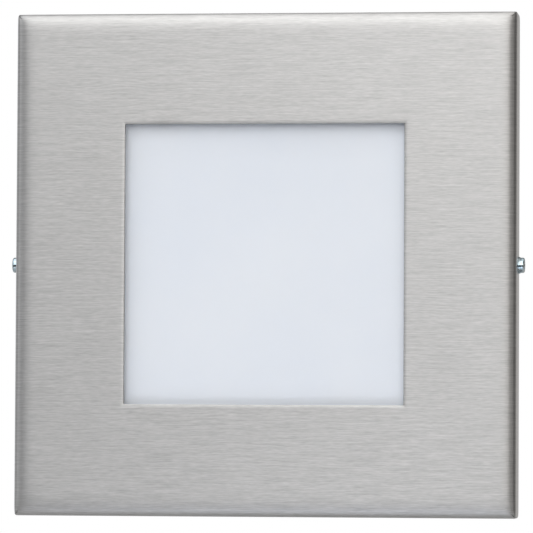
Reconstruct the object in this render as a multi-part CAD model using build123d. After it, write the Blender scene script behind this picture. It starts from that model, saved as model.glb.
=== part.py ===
from build123d import *
from math import cos, radians, sqrt, tan
import os

# Recessed square wall light. A folded stainless cover slips over a steel frame, which clamps an opal
# diffuser and its gasket on a moulded box that sits in the wall. Two side screws hold the cover.
# Millimetres. X points right, Y into the wall and Z up. The origin is on the wall surface, behind the
# middle of the window.

# Front cover, folded from brushed stainless sheet with mitred corners
COVER_SIDE = 230.0
COVER_SHEET = 1.5
COVER_BEND = 4.5
COVER_WALL_GAP = 0.5
CORNER_ROUND = 2.2
MITRE_GAP = 0.3
WINDOW_SIDE = 128.0
WINDOW_CORNER = 1.5

# Side screws, M4 cheese head on a split spring washer, with a welded square nut
SIDE_HEAD_D = 7.0
SIDE_HEAD_H = 2.0
SIDE_HEAD_EDGE = 0.9
WASHER_D = 7.6
WASHER_T = 0.9
WASHER_SLIT = 0.8
SLIT_SLANT = 25.0
NUT_SIDE = 7.0
NUT_H = 3.2
NUT_MARGIN = 0.25

# M4 and M3 screws shared by the other pieces
M4 = 4.0
M3 = 3.0
M4_HEAD_D = 8.0
M4_HEAD_H = 2.6
M3_HEAD_D = 5.6
M3_HEAD_H = 2.0
PAN_EDGE = 1.2
SCREW_TIP = 0.5
RECESS_DEPTH = 1.3
RECESS_SHARE = 0.55
RECESS_BLADE = 0.9

# Clearances
HOLE_CLEAR = 0.4
THREAD_CLEAR = 0.1
SEAT_CLEAR = 0.05
PRESS_CLEAR = 0.04
PIECE_CLEAR = 0.3
FRAME_CLEAR = 0.5
FLANGE_CLEAR = 1.5
SCREW_END_GAP = 1.0
CUT_PAST = 1.0

# Clamp frame, pressed from galvanised sheet
FRAME_SHEET = 1.5
FRAME_BEND = 2.5
FRAME_OPENING_GAP = 2.0
FRAME_SCREW_PITCH = 100.0

# Opal diffuser, moulded as a shallow bowl with a flange
BOWL_OVERLAP = 13.0
BOWL_RISE = 4.5
BOWL_CORNER = 8.0
BOWL_DRAFT = 8.0
BOWL_WALL = 3.0
BOWL_EDGE = 1.5
BOWL_GAP = 3.0
DIFFUSER_FLANGE = 3.0

# Seals
GASKET_T = 2.0
GASKET_WIDTH = 5.5
GASKET_INSET = 1.0
SEAL_T = 2.5

# Recess box, moulded, with a wall flange
BOX_CORNER = 6.0
BOX_WALL = 2.5
BOX_DEPTH = 68.0
BOX_DRAFT = 1.0
BOX_BACK_EDGE = 3.0
FLANGE_T = 4.0
FLANGE_CORNER = 8.0
RIB_WIDTH = 3.0
RIB_HEIGHT = 2.0
RIB_PITCH = 55.0
RIB_END = 10.0
BOSS_D = 9.0
BOSS_WALL_GAP = 0.8
BOSS_FLOOR = 1.2
INSERT_D = 5.6
INSERT_L = 5.0
WALL_HOLE_INSET = 8.0
WALL_HOLE_D = 5.0
WALL_SCREW_ACCESS = 12.0
PILLAR_D = 9.0
PILLAR_HOLE_DEPTH = 12.0
GUSSET_T = 2.0
GUSSET_TOP = 34.0
GUSSET_REACH = 12.0

# Cable grommets in the back of the box, with closed membranes for the fitter to pierce
GROMMET_HOLE = 20.0
GROMMET_FLANGE_D = 26.0
GROMMET_FLANGE_T = 2.0
GROMMET_NIPPLE_D = 14.0
GROMMET_NIPPLE_H = 5.0
GROMMET_SKIN = 1.2
GROMMET_PITCH = 80.0
GROMMET_Z = -55.0

# Light engine: tray, reflector and board
TRAY_FRONT = 15.0
TRAY_SHEET = 1.5
TRAY_GAP = 8.0
TRAY_LIP = 12.0
TRAY_BEND = 2.5
TRAY_SCREW_LENGTH = 10.0
REFLECTOR_SHEET = 0.8
REFLECTOR_FLOOR = 15.0
REFLECTOR_CORNER = 6.0
REFLECTOR_SLOPE = 28.0
REFLECTOR_GAP = 2.0
REFLECTOR_RIM_GAP = 1.0
BOARD_T = 1.6
BOARD_CORNER = 2.0
BOARD_CLEAR = 1.0
BOARD_SCREW_INSET = 5.0
PAD_T = 0.5
PAD_INSET = 2.0
LED_COUNT = 6
LED_PITCH = 19.0
LED_W = 3.5
LED_H = 2.8
LED_T = 0.8
CONNECTOR_GAP = 2.5
CONNECTOR_L = 8.0
CONNECTOR_W = 7.0
CONNECTOR_T = 4.0
CONNECTOR_EDGE = 0.3
BUSH_HOLE = 9.0
BUSH_D = 12.0
BUSH_LIP = 1.5
BUSH_BORE = 6.0

# Control gear on the back of the tray
DRIVER_L = 110.0
DRIVER_W = 42.0
DRIVER_H = 25.0
DRIVER_CORNER = 4.0
DRIVER_EDGE = 1.5
DRIVER_EAR = 9.0
DRIVER_EAR_W = 14.0
DRIVER_EAR_T = 2.5
DRIVER_Z = 32.0
TERMINAL_POLES = 3
TERMINAL_PITCH = 11.0
TERMINAL_W = 20.0
TERMINAL_H = 17.0
TERMINAL_X = -20.0
TERMINAL_Z = -38.0
TERMINAL_BORE = 4.6
TERMINAL_BORE_Y = 7.0
TERMINAL_GROOVE = 1.2
SLEEVE_WALL = 0.6
CLAMP_SCREW_D = 3.4
CLAMP_SCREW_SINK = 1.0
CLAMP_SCREW_SLOT = 0.7
EARTH_X = 38.0
EARTH_Z = -14.0
EARTH_STUD_L = 10.0
EARTH_NUT_H = 3.2
RING_D = 9.0
RING_T = 0.8
BARREL_D = 4.0
BARREL_L = 8.0

# Wires: diameters, how far each sits in its port, and the routes round the driver
MAINS_WIRE_D = 2.4
LED_WIRE_D = 1.6
LEAD_PITCH = 10.0
LED_LEAD_PITCH = 3.4
WIRE_SINK = 4.0
WIRE_RISE = 12.0
WIRE_EDGE_GAP = 4.0
WIRE_SPREAD = 4.0
EARTH_REACH = 13.0
WIRE_BEND = 8.0
EARTH_BEND = 4.0
LED_WIRE_BEND = 4.0
LED_WIRE_REACH = 12.0

# Depths, from the wall surface out to the front and then into the wall
flange_back = -SEAL_T
flange_front = flange_back - FLANGE_T
gasket_front = flange_front - GASKET_T
diffuser_front = gasket_front - DIFFUSER_FLANGE
bowl_front = diffuser_front - BOWL_RISE
cover_inside = bowl_front - BOWL_GAP
cover_front = cover_inside - COVER_SHEET
cover_back = -COVER_WALL_GAP
frame_front = diffuser_front - FRAME_SHEET
side_screw_y = frame_front + FRAME_BEND + NUT_MARGIN + NUT_SIDE / 2
frame_back = side_screw_y + NUT_SIDE / 2 + NUT_MARGIN
boss_back = -BOSS_WALL_GAP
boss_floor = boss_back - BOSS_FLOOR
box_floor = BOX_DEPTH - BOX_WALL
tray_back = TRAY_FRONT + TRAY_SHEET
board_back = TRAY_FRONT - PAD_T
board_front = board_back - BOARD_T
reflector_front = gasket_front + REFLECTOR_RIM_GAP
reflector_floor = TRAY_FRONT - REFLECTOR_SHEET
led_wire_y = board_front - CONNECTOR_T / 2
driver_lead_y = tray_back + DRIVER_H / 2
earth_wire_y = tray_back + BARREL_D / 2
terminal_y = tray_back + TERMINAL_BORE_Y
terminal_back = tray_back + TERMINAL_H
sleeve_back = terminal_y + TERMINAL_BORE / 2

# Widths, from the cover inwards
frame_side = COVER_SIDE - 2 * (COVER_SHEET + FRAME_CLEAR)
frame_inside = frame_side / 2 - FRAME_SHEET
flange_side = 2 * (frame_inside - FLANGE_CLEAR)
side_seat = COVER_SIDE / 2 + SEAT_CLEAR + WASHER_T + SEAT_CLEAR
nut_inner = frame_inside - NUT_H
side_tip = nut_inner - PIECE_CLEAR
notch_x = side_tip - FLANGE_CLEAR
diffuser_side = 2 * notch_x
wall_hole_spacing = flange_side - 2 * WALL_HOLE_INSET
corner_cut = (wall_hole_spacing - WALL_SCREW_ACCESS) / 2
screw_line = diffuser_side - BOSS_D
gasket_outer = screw_line - BOSS_D - 2 * GASKET_INSET
gasket_inner = gasket_outer - 2 * GASKET_WIDTH
box_mouth = gasket_inner - 2 * GASKET_INSET
box_outer = box_mouth + 2 * BOX_WALL
bowl_side = WINDOW_SIDE + 2 * BOWL_OVERLAP
tray_side = box_mouth - 2 * TRAY_GAP
slope = tan(radians(REFLECTOR_SLOPE))
reflector_base = box_mouth - 2 * REFLECTOR_GAP - 2 * (TRAY_FRONT - reflector_front) * slope
reflector_hole = reflector_base - 2 * REFLECTOR_FLOOR
pillar_pitch = reflector_base - REFLECTOR_FLOOR
board_side = reflector_hole - 2 * BOARD_CLEAR
board_screw_pitch = board_side - 2 * BOARD_SCREW_INSET
bush_x = (board_side - BUSH_D) / 2
wire_window_x = bush_x - BUSH_D / 2 - PIECE_CLEAR
connector_x = wire_window_x - CONNECTOR_GAP - CONNECTOR_L / 2
driver_ear_x = (DRIVER_L + DRIVER_EAR) / 2


def four_corners(pitch):
    """The corners of a square pattern."""
    return [(x * pitch / 2, z * pitch / 2) for x in (-1, 1) for z in (-1, 1)]


# Where the repeated features sit: X and Z on the light's face, or one of them along a row
long_sides = [(x * screw_line / 2, z * FRAME_SCREW_PITCH / 2) for x in (-1, 1) for z in (-1, 1)]
frame_screw_places = long_sides + [(z, x) for x, z in long_sides]
wall_hole_places = four_corners(wall_hole_spacing)
pillar_places = four_corners(pillar_pitch)
board_screw_places = four_corners(board_screw_pitch)
grommet_places = [(side * GROMMET_PITCH / 2, GROMMET_Z) for side in (-1, 1)]
driver_screw_places = [(side * driver_ear_x, DRIVER_Z) for side in (-1, 1)]
pole_x = [TERMINAL_X + (n - (TERMINAL_POLES - 1) / 2) * TERMINAL_PITCH for n in range(TERMINAL_POLES)]
clamp_places = [(x, TERMINAL_Z + end * TERMINAL_W / 4) for x in pole_x for end in (-1, 1)]
terminal_screw_place = (TERMINAL_X - TERMINAL_PITCH / 2, TERMINAL_Z)
mains_port_z = [DRIVER_Z + end * LEAD_PITCH / 2 for end in (1, -1)]
led_port_z = [DRIVER_Z + end * LED_LEAD_PITCH / 2 for end in (1, -1)]
led_wire_z = [end * LED_LEAD_PITCH / 2 for end in (-1, 1)]


def square(side, corner):
    """A square outline with rounded corners."""
    return RectangleRounded(side, side, corner)


def hole(diameter, clearance):
    """A round outline that passes a shank of this diameter."""
    return Circle((diameter + clearance) / 2)


def copies(shape, places):
    """The same outline at several places."""
    return Sketch() + [Pos(*place) * shape for place in places]


def front_plane(y):
    """A plane at depth y that looks out of the wall: its x is X and its y is Z."""
    return Plane.XZ.offset(-y)


def back_plane(y):
    """A plane at depth y that looks into the wall: its x is -X and its y is Z."""
    return Plane((0, y, 0), x_dir=(-1, 0, 0), z_dir=(0, 1, 0))


def slab(outline, front, back):
    """An outline drawn in X and Z, as a solid between two depths."""
    return extrude(front_plane(back) * outline, amount=back - front)


def bar(outline, start, end):
    """An outline drawn in Y and Z, as a solid between two X positions."""
    return extrude(Plane.YZ.offset(start) * outline, amount=end - start)


def group(plane, solid, places):
    """Separate copies of one solid on a plane, as one compound."""
    return Compound([plane * Pos(*place) * solid for place in places])


def folded_block(side, front, back, radius):
    """A square block whose front edges roll over at one radius and meet at mitred corners."""
    section = Pos(0, (front + back) / 2) * Rectangle(side, back - front)
    section = fillet(section.vertices().group_by(Axis.Y)[0], radius)
    upright = extrude(section, amount=side / 2, both=True)
    return upright & Rot(0, 90, 0) * upright


def folded_pan(side, front, back, radius, sheet):
    """A square sheet with its four edges folded back, open towards the wall."""
    outside = folded_block(side, front, back, radius)
    return outside - folded_block(side - 2 * sheet, front + sheet, back + CUT_PAST, radius - sheet)


def screw(shank_d, length, head_d, head_h, edge):
    """A cross-recessed screw along +Z: its head stands on z = 0 and its shank hangs below."""
    head = Pos(0, 0, head_h / 2) * Cylinder(head_d / 2, head_h)
    head = fillet(head.edges().sort_by(Axis.Z)[-1], edge)
    shank = Pos(0, 0, -length / 2) * Cylinder(shank_d / 2, length)
    shank = chamfer(shank.edges().sort_by(Axis.Z)[0], SCREW_TIP)
    blade = Box(head_d * RECESS_SHARE, RECESS_BLADE, RECESS_DEPTH)
    recess = Pos(0, 0, head_h - RECESS_DEPTH / 2) * (blade + Rot(0, 0, 90) * blade)
    return head + shank - recess


def m4_screw(length):
    return screw(M4, length, M4_HEAD_D, M4_HEAD_H, PAN_EDGE)


def m3_screw(length):
    return screw(M3, length, M3_HEAD_D, M3_HEAD_H, PAN_EDGE)


def make_front_cover():
    """Stainless sheet, folded on four sides, with the window, a slit at each mitre and a notch per screw."""
    cover = folded_pan(COVER_SIDE, cover_front, cover_back, COVER_BEND, COVER_SHEET)
    cover &= slab(square(COVER_SIDE, CORNER_ROUND), cover_front, cover_back)
    fold_start = (COVER_SIDE / 2 - COVER_BEND) * sqrt(2)
    slit_l = COVER_BEND * sqrt(2)
    slit = Pos(fold_start + slit_l / 2, 0) * Rectangle(slit_l, MITRE_GAP)
    slit = slab(slit, cover_front - CUT_PAST, cover_back + CUT_PAST)
    cover -= [Rot(0, 45 + turn * 90, 0) * slit for turn in range(4)]
    cover -= slab(square(WINDOW_SIDE, WINDOW_CORNER), cover_front - CUT_PAST, cover_inside + CUT_PAST)
    notch_l = cover_back + CUT_PAST - side_screw_y
    notch = Pos(side_screw_y, 0) * hole(M4, HOLE_CLEAR)
    notch += Pos(side_screw_y + notch_l / 2, 0) * Rectangle(notch_l, M4 + HOLE_CLEAR)
    return cover - bar(notch, -COVER_SIDE, COVER_SIDE)


def make_side_screw():
    """The right side screw, through the cover's notch into the frame's weld nut."""
    shape = screw(M4, side_seat - side_tip, SIDE_HEAD_D, SIDE_HEAD_H, SIDE_HEAD_EDGE)
    return Plane.YZ.offset(side_seat) * Pos(side_screw_y, 0) * shape


def make_spring_washer():
    """The right split washer, flat under its screw head, cut on a slant."""
    ring = extrude(Circle(WASHER_D / 2) - hole(M4, 2 * THREAD_CLEAR), amount=WASHER_T)
    cut = Rot(0, SLIT_SLANT, 0) * Box(WASHER_SLIT, WASHER_D, 3 * WASHER_T)
    ring -= Pos(0, WASHER_D / 2, WASHER_T / 2) * cut
    return Plane.YZ.offset(COVER_SIDE / 2 + SEAT_CLEAR) * Pos(side_screw_y, 0) * ring


def make_weld_nut():
    """The right square nut, welded inside the frame's lip."""
    outline = Rectangle(NUT_SIDE, NUT_SIDE) - hole(M4, THREAD_CLEAR)
    return bar(Pos(side_screw_y, 0) * outline, nut_inner, frame_inside)


def corner_notches(side):
    """The square cut out of each corner, which leaves room to drive the wall screws."""
    leg = side / 2 - corner_cut + CUT_PAST
    return copies(Rectangle(leg, leg), four_corners(2 * corner_cut + leg))


def make_cover_frame():
    """Galvanised sheet with a lip on each side, open corners and an opening for the bowl."""
    frame = folded_pan(frame_side, frame_front, frame_back, FRAME_BEND, FRAME_SHEET)
    opening = square(bowl_side + 2 * FRAME_OPENING_GAP, BOWL_CORNER + FRAME_OPENING_GAP)
    opening += copies(hole(M4, HOLE_CLEAR), frame_screw_places)
    frame -= slab(opening, frame_front - CUT_PAST, diffuser_front + CUT_PAST)
    frame -= slab(corner_notches(frame_side), frame_front - CUT_PAST, frame_back + CUT_PAST)
    return frame - bar(Pos(side_screw_y, 0) * hole(M4, HOLE_CLEAR), -COVER_SIDE, COVER_SIDE)


def make_frame_screws():
    length = boss_floor - SCREW_END_GAP - frame_front
    return group(front_plane(frame_front), m4_screw(length), frame_screw_places)


def make_opal_diffuser():
    """A shallow opal bowl with drafted sides, on a flange that the frame clamps."""
    outline = Rectangle(diffuser_side, diffuser_side) - corner_notches(diffuser_side)
    outline -= copies(hole(M4, HOLE_CLEAR), frame_screw_places)
    bowl = front_plane(diffuser_front) * square(bowl_side, BOWL_CORNER)
    bowl = extrude(bowl, amount=BOWL_RISE, taper=BOWL_DRAFT)
    bowl = fillet(bowl.faces().sort_by(Axis.Y)[0].edges(), BOWL_EDGE)
    hollow = front_plane(gasket_front) * square(bowl_side - 2 * BOWL_WALL, BOWL_CORNER - BOWL_WALL)
    hollow = extrude(hollow, amount=gasket_front - bowl_front - BOWL_WALL, taper=BOWL_DRAFT)
    return slab(outline, diffuser_front, gasket_front) + bowl - hollow


def make_box_gasket():
    """Silicone ring between the diffuser and the box, inside the line of screws."""
    ring = square(gasket_outer, BOX_CORNER + GASKET_WIDTH) - square(gasket_inner, BOX_CORNER)
    return slab(ring, gasket_front, flange_front)


def flange_outline():
    """The wall flange and the seal behind it: notched at the weld nuts, drilled for the wall screws."""
    notch_l = flange_side / 2 - notch_x + CUT_PAST
    notch = Rectangle(notch_l, NUT_SIDE + 2 * FLANGE_CLEAR)
    outline = square(flange_side, FLANGE_CORNER)
    outline -= copies(notch, [(side * (notch_x + notch_l / 2), 0) for side in (-1, 1)])
    return outline - copies(Circle(WALL_HOLE_D / 2), wall_hole_places)


def make_wall_seal():
    """Foam ring behind the flange, cut out round the box and the bosses."""
    ring = flange_outline() - square(box_outer + 2 * RIB_HEIGHT + FLANGE_CLEAR, BOX_CORNER)
    ring -= copies(hole(BOSS_D, 2 * PIECE_CLEAR), frame_screw_places)
    return slab(ring, flange_back, 0)


def box_ribs():
    """Keys along the outside of each wall, which the mortar grips."""
    length = BOX_DEPTH - RIB_END - flange_back
    rib = Pos(box_outer / 2, 0, flange_back + length / 2) * Box(2 * RIB_HEIGHT, RIB_WIDTH, length)
    row = [Pos(0, step * RIB_PITCH, 0) * rib for step in (-1, 0, 1)]
    return [back_plane(0) * Rot(0, 0, turn * 90) * rib for turn in range(4) for rib in row]


def pillar_gussets():
    """Webs that prop each pillar from the floor, on the two sides that face the walls."""
    profile = make_face(Polyline((0, GUSSET_TOP), (GUSSET_REACH, box_floor), (0, box_floor), close=True))
    web = extrude(profile, GUSSET_T / 2, both=True)
    turns = [(x, z, turn) for x, z in pillar_places for turn in (0 if x > 0 else 180, -90 if z > 0 else 90)]
    return [Pos(x, 0, z) * Rot(0, turn, 0) * web for x, z, turn in turns]


def make_recess_box():
    """Moulded box: drafted walls, wall flange, screw bosses, tray pillars and cable entries."""
    mouth = back_plane(flange_back) * square(box_outer, BOX_CORNER + BOX_WALL)
    box = extrude(mouth, amount=BOX_DEPTH - flange_back, taper=BOX_DRAFT)
    box = fillet(box.faces().sort_by(Axis.Y)[-1].edges(), BOX_BACK_EDGE) + box_ribs()
    box += slab(flange_outline(), flange_front, flange_back)
    box += slab(copies(Circle(BOSS_D / 2), frame_screw_places), gasket_front, boss_back)
    hollow = back_plane(flange_front) * square(box_mouth, BOX_CORNER)
    box -= extrude(hollow, amount=box_floor - flange_front, taper=BOX_DRAFT)
    box += slab(copies(Circle(PILLAR_D / 2), pillar_places), tray_back, box_floor)
    box += pillar_gussets()
    pilot = hole(M4, THREAD_CLEAR)
    box -= slab(copies(pilot, pillar_places), tray_back, tray_back + PILLAR_HOLE_DEPTH)
    box -= slab(copies(hole(INSERT_D, PRESS_CLEAR), frame_screw_places), gasket_front, gasket_front + INSERT_L)
    box -= slab(copies(pilot, frame_screw_places), gasket_front, boss_floor)
    entries = copies(Circle(GROMMET_HOLE / 2), grommet_places)
    return box - slab(entries, box_floor - CUT_PAST, BOX_DEPTH + CUT_PAST)


def make_thread_inserts():
    """Brass inserts pressed into the flange's bosses."""
    sleeve = slab(Circle(INSERT_D / 2) - hole(M4, THREAD_CLEAR), gasket_front, gasket_front + INSERT_L)
    return Compound([Pos(x, 0, z) * sleeve for x, z in frame_screw_places])


def make_cable_grommet(place):
    """A rubber grommet that snaps into the box's back wall, closed by a thin nipple."""
    disc = Circle(GROMMET_FLANGE_D / 2)
    flange_end = BOX_DEPTH + GROMMET_FLANGE_T
    nipple_end = flange_end + GROMMET_NIPPLE_H
    body = slab(disc, box_floor - GROMMET_FLANGE_T, box_floor) + slab(disc, BOX_DEPTH, flange_end)
    body += slab(hole(GROMMET_HOLE, -PRESS_CLEAR), box_floor, BOX_DEPTH)
    body += slab(Circle(GROMMET_NIPPLE_D / 2), flange_end, nipple_end)
    bore = hole(GROMMET_NIPPLE_D, -2 * GROMMET_SKIN)
    body -= slab(bore, box_floor - GROMMET_FLANGE_T, nipple_end - GROMMET_SKIN)
    return Pos(place[0], 0, place[1]) * body


def make_gear_tray():
    """Galvanised tray on the pillars, with folded top and bottom lips and holes for what it carries."""
    lip_end = TRAY_FRONT + TRAY_LIP
    section = Pos((TRAY_FRONT + lip_end) / 2, 0) * Rectangle(TRAY_LIP, tray_side)
    section = fillet(section.vertices().group_by(Axis.X)[0], TRAY_BEND)
    inside = Pos((tray_back + lip_end) / 2, 0) * Rectangle(lip_end - tray_back, tray_side - 2 * TRAY_SHEET)
    inside = fillet(inside.vertices().group_by(Axis.X)[0], TRAY_BEND - TRAY_SHEET)
    tray = bar(section - inside, -tray_side / 2, tray_side / 2)
    holes = copies(hole(M4, HOLE_CLEAR), pillar_places)
    holes += copies(hole(M3, THREAD_CLEAR), board_screw_places + driver_screw_places + [terminal_screw_place])
    holes += Pos(EARTH_X, EARTH_Z) * hole(M4, PRESS_CLEAR)
    holes += Pos(bush_x, 0) * Circle(BUSH_HOLE / 2)
    return tray - slab(holes, TRAY_FRONT - CUT_PAST, tray_back + CUT_PAST)


def make_tray_screws():
    """Screws that hold the reflector and the tray on the pillars."""
    return group(front_plane(reflector_floor), m4_screw(TRAY_SCREW_LENGTH), pillar_places)


def make_reflector():
    """White pan with sloping sides: its floor lies on the tray round the board."""
    rise = TRAY_FRONT - reflector_front
    base = front_plane(TRAY_FRONT) * square(reflector_base, REFLECTOR_CORNER)
    inner_side = reflector_base + 2 * REFLECTOR_SHEET * (slope - 1 / cos(radians(REFLECTOR_SLOPE)))
    floor = front_plane(reflector_floor) * square(inner_side, REFLECTOR_CORNER)
    pan = extrude(base, amount=rise, taper=-REFLECTOR_SLOPE)
    pan -= extrude(floor, amount=rise, taper=-REFLECTOR_SLOPE)
    holes = copies(hole(M4, HOLE_CLEAR), pillar_places) + square(reflector_hole, BOARD_CORNER)
    return pan - slab(holes, reflector_floor - CUT_PAST, TRAY_FRONT + CUT_PAST)


def board_outline(side):
    """The board or its pad: screw holes, and a notch where the leads come through the tray."""
    notch_l = board_side / 2 - wire_window_x + CUT_PAST
    notch = Pos(wire_window_x + notch_l / 2, 0) * Rectangle(notch_l, BUSH_D + 2 * PIECE_CLEAR)
    return square(side, BOARD_CORNER) - notch - copies(hole(M3, HOLE_CLEAR), board_screw_places)


def make_thermal_pad():
    return slab(board_outline(board_side - 2 * PAD_INSET), board_back, TRAY_FRONT)


def make_led_board():
    return slab(board_outline(board_side), board_front, board_back)


def make_board_screws():
    """Screws that end flush with the back of the tray."""
    return group(front_plane(board_front), m3_screw(tray_back - board_front), board_screw_places)


def make_leds():
    """Square array of surface-mounted LEDs."""
    steps = [(n - (LED_COUNT - 1) / 2) * LED_PITCH for n in range(LED_COUNT)]
    chip = Pos(0, 0, LED_T / 2) * Box(LED_W, LED_H, LED_T)
    return group(front_plane(board_front), chip, [(x, z) for x in steps for z in steps])


def ports(diameter, y, heights):
    """Round ports for wires that run along X at one depth."""
    return copies(hole(diameter, THREAD_CLEAR), [(y, z) for z in heights])


def make_board_connector():
    """Push-in wire connector on the board, open towards the notch."""
    outline = Pos(connector_x, 0) * Rectangle(CONNECTOR_L, CONNECTOR_W)
    body = slab(outline, board_front - CONNECTOR_T, board_front)
    body = chamfer(body.edges().filter_by(Axis.X).group_by(Axis.Y)[0], CONNECTOR_EDGE)
    end = connector_x + CONNECTOR_L / 2
    return body - bar(ports(LED_WIRE_D, led_wire_y, led_wire_z), end - WIRE_SINK, end + CUT_PAST)


def make_wire_bush():
    """Rubber bush that guards the leads at the hole in the tray."""
    lip = Circle(BUSH_D / 2)
    front_lip = TRAY_FRONT - BUSH_LIP
    back_lip = tray_back + BUSH_LIP
    body = slab(hole(BUSH_HOLE, -PRESS_CLEAR), TRAY_FRONT, tray_back)
    body += slab(lip, front_lip, TRAY_FRONT) + slab(lip, tray_back, back_lip)
    return Pos(bush_x, 0, 0) * (body - slab(Circle(BUSH_BORE / 2), front_lip, back_lip))


def make_led_driver():
    """Potted driver box with an ear at each end, and blind ports for its leads."""
    case = Pos(0, DRIVER_Z) * RectangleRounded(DRIVER_L, DRIVER_W, DRIVER_CORNER)
    body = slab(case, tray_back, tray_back + DRIVER_H)
    body = fillet(body.faces().sort_by(Axis.Y)[-1].edges(), DRIVER_EDGE)
    end = DRIVER_L / 2
    ears = copies(Rectangle(2 * DRIVER_EAR, DRIVER_EAR_W), [(side * end, DRIVER_Z) for side in (-1, 1)])
    ears -= copies(hole(M3, HOLE_CLEAR), driver_screw_places)
    body += slab(ears, tray_back, tray_back + DRIVER_EAR_T)
    body -= bar(ports(MAINS_WIRE_D, driver_lead_y, mains_port_z), -end - CUT_PAST, -end + WIRE_SINK)
    return body - bar(ports(LED_WIRE_D, driver_lead_y, led_port_z), end - WIRE_SINK, end + CUT_PAST)


def make_driver_screws():
    """Screws through the driver's ears, flush with the front of the tray."""
    places = [(-x, z) for x, z in driver_screw_places]
    return group(back_plane(tray_back + DRIVER_EAR_T), m3_screw(DRIVER_EAR_T + TRAY_SHEET), places)


def pole_rods(diameter, length):
    """A rod along Z in every pole of the terminal block."""
    return [Pos(x, terminal_y, TERMINAL_Z) * Cylinder(diameter / 2, length) for x in pole_x]


def make_terminal_block():
    """Moulded block with a groove between the poles and a well over each clamp screw."""
    outline = Pos(TERMINAL_X, TERMINAL_Z) * Rectangle(TERMINAL_POLES * TERMINAL_PITCH, TERMINAL_W)
    block = slab(outline, tray_back, terminal_back)
    groove_places = [(x + TERMINAL_PITCH / 2, TERMINAL_Z) for x in pole_x[:-1]]
    cuts = copies(Rectangle(TERMINAL_GROOVE, TERMINAL_W), groove_places)
    cuts += Pos(*terminal_screw_place) * hole(M3_HEAD_D, 2 * PIECE_CLEAR)
    block -= slab(cuts, sleeve_back, terminal_back)
    block -= pole_rods(TERMINAL_BORE, TERMINAL_W)
    block -= slab(copies(hole(CLAMP_SCREW_D, THREAD_CLEAR), clamp_places), terminal_y, terminal_back)
    return block - slab(Pos(*terminal_screw_place) * hole(M3, HOLE_CLEAR), tray_back, terminal_back)


def make_terminal_sleeves():
    """Brass tube in each pole, tapped for its clamp screws."""
    outer_d = TERMINAL_BORE - PRESS_CLEAR
    taps = slab(copies(hole(CLAMP_SCREW_D, THREAD_CLEAR), clamp_places), terminal_y, terminal_back)
    cuts = [taps] + pole_rods(outer_d - 2 * SLEEVE_WALL, TERMINAL_W)
    return Compound([tube - cuts for tube in pole_rods(outer_d, TERMINAL_W - 2 * PIECE_CLEAR)])


def make_clamp_screws():
    """Slotted clamp screws, sunk in the wells of the terminal block."""
    top = terminal_back - CLAMP_SCREW_SINK
    body = slab(Circle(CLAMP_SCREW_D / 2), terminal_y + MAINS_WIRE_D / 2 + PIECE_CLEAR, top)
    body -= slab(Rectangle(CLAMP_SCREW_D, CLAMP_SCREW_SLOT), top - CLAMP_SCREW_SLOT, top)
    return Compound([Pos(x, 0, z) * body for x, z in clamp_places])


def make_terminal_screw():
    """The block's own screw, between its first two poles, flush with the front of the tray."""
    x, z = terminal_screw_place
    return back_plane(sleeve_back) * Pos(-x, z) * m3_screw(sleeve_back - TRAY_FRONT)


def make_earth_stud():
    """Stud pressed into the tray, flush at the front."""
    return slab(Pos(EARTH_X, EARTH_Z) * Circle(M4 / 2), TRAY_FRONT, tray_back + EARTH_STUD_L)


def make_earth_nut():
    """Hexagon nut that clamps the ring terminal."""
    outline = RegularPolygon(NUT_SIDE / 2, 6, major_radius=False) - hole(M4, THREAD_CLEAR)
    seat = tray_back + RING_T
    return slab(Pos(EARTH_X, EARTH_Z) * outline, seat, seat + EARTH_NUT_H)


def make_ring_terminal():
    """Tinned ring under the earth nut, with a barrel crimped on the earth wire."""
    ring = Circle(RING_D / 2) + Pos(-RING_D / 2, 0) * Rectangle(RING_D, BARREL_D) - hole(M4, HOLE_CLEAR)
    plate = slab(Pos(EARTH_X, EARTH_Z) * ring, tray_back, tray_back + RING_T)
    end = EARTH_X - RING_D
    centre = Pos(earth_wire_y, EARTH_Z)
    barrel = bar(centre * Circle(BARREL_D / 2), end - BARREL_L, end + RING_T)
    return plate + barrel - bar(centre * hole(MAINS_WIRE_D, THREAD_CLEAR), end - BARREL_L, end)


def wire(points, diameter, radius):
    """An insulated wire along straight runs joined by arcs of one radius."""
    route = FilletPolyline(*points, radius=radius)
    return sweep(Plane(route @ 0, z_dir=route % 0) * Circle(diameter / 2), path=route)


def make_mains_wire(n):
    """A lead from a pole of the terminal block, round the end of the driver and into its port."""
    turn_z = TERMINAL_Z + TERMINAL_W / 2 + WIRE_RISE + n * LEAD_PITCH
    outer_x = -tray_side / 2 + WIRE_EDGE_GAP + n * WIRE_SPREAD
    points = [
        (pole_x[n], terminal_y, TERMINAL_Z + WIRE_SINK),
        (pole_x[n], terminal_y, turn_z),
        (outer_x, driver_lead_y, turn_z + LEAD_PITCH),
        (outer_x, driver_lead_y, mains_port_z[n]),
        (-DRIVER_L / 2 + WIRE_SINK, driver_lead_y, mains_port_z[n]),
    ]
    return wire(points, MAINS_WIRE_D, WIRE_BEND)


def make_earth_wire():
    """The earth lead, from its pole down to the ring terminal on the tray."""
    points = [
        (pole_x[-1], terminal_y, TERMINAL_Z + WIRE_SINK),
        (pole_x[-1], terminal_y, EARTH_Z),
        (pole_x[-1] + EARTH_REACH, earth_wire_y, EARTH_Z),
        (EARTH_X - RING_D, earth_wire_y, EARTH_Z),
    ]
    return wire(points, MAINS_WIRE_D, EARTH_BEND)


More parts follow.
